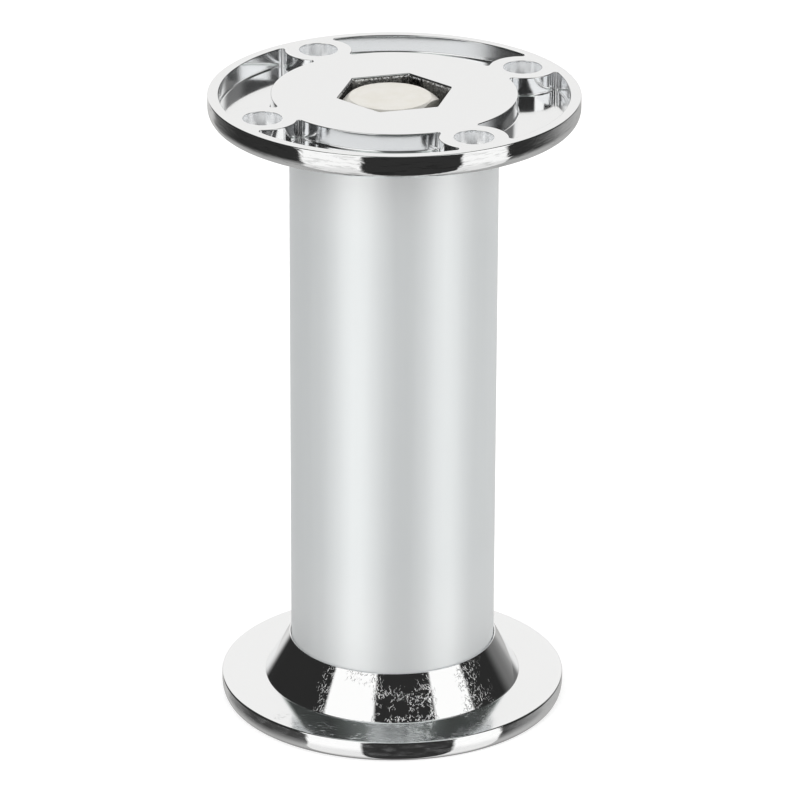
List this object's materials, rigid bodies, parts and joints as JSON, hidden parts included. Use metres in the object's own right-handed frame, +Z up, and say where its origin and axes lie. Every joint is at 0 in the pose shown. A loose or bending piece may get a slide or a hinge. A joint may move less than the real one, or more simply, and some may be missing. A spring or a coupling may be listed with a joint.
{
  "type": "furniture leg",
  "caption": "Short fixed furniture leg: satin aluminium tube clamped by a through bolt between a round chromed mounting plate and a chromed flanged base.",
  "frame": {"origin": "on the floor, on the tube's axis, in the middle of the base's underside", "axes": "+Z up along the tube to the mounting face; +X and +Y each point midway between two screw holes"},
  "size_m": [0.0568, 0.0568, 0.1],
  "materials": {
    "chrome": "bright plated, with a fine casting texture",
    "anodised_aluminium": "satin anodised",
    "zinc_plated_steel": "dull zinc plate"
  },
  "bodies": {
    "root": {"mounting_plate": "chrome", "tube": "anodised_aluminium", "base": "chrome", "tie_bolt": "zinc_plated_steel", "washer": "zinc_plated_steel", "hex_nut": "zinc_plated_steel"}
  },
  "joints": []
}
